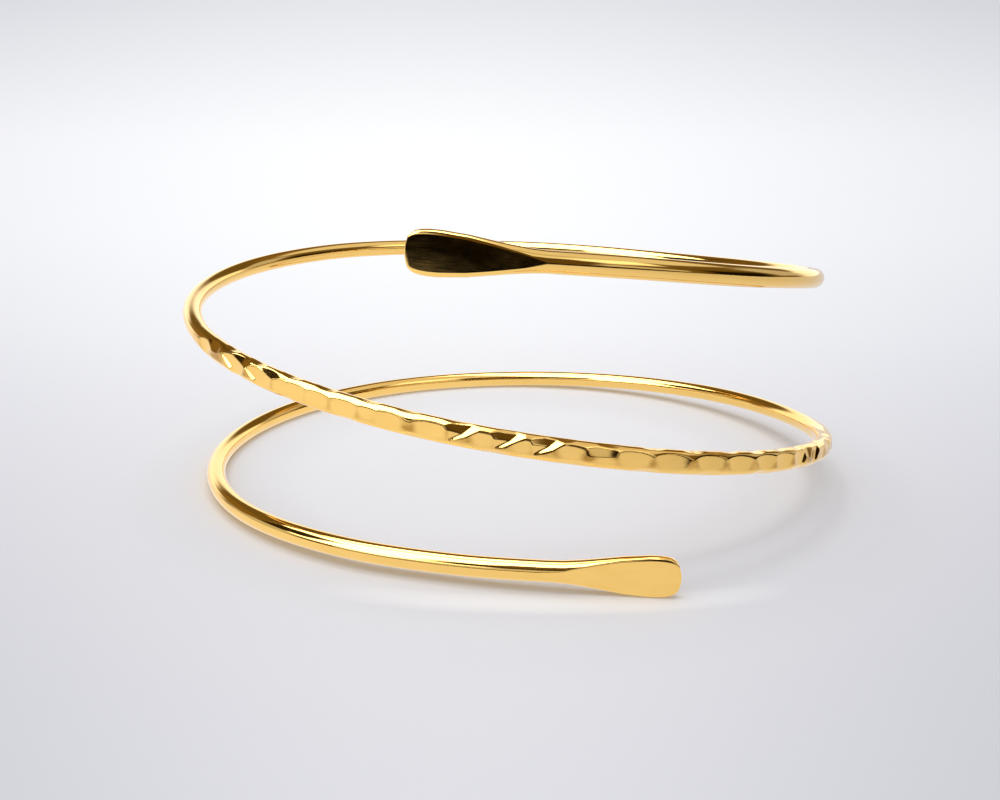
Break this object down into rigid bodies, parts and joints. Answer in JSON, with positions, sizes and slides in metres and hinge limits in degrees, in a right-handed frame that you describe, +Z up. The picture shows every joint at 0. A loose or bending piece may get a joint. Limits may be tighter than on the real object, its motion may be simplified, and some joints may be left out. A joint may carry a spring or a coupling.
{
  "type": "upper arm cuff",
  "caption": "Springy spiral arm cuff of round gold-toned wire, with flattened paddle ends and a hammered middle; it grips the upper arm by its own spring.",
  "frame": {"origin": "middle of the cuff's bounding box, on the surface that it rests on", "axes": "+Z up along the arm's axis, -Y towards the front where both paddles lie, +X to the right; the wire climbs clockwise seen from above"},
  "size_m": [0.0876, 0.0894, 0.0381],
  "materials": {
    "gold_plate": "polished gold plate over brass wire"
  },
  "bodies": {
    "root": {"arm_cuff": "gold_plate"}
  },
  "joints": []
}
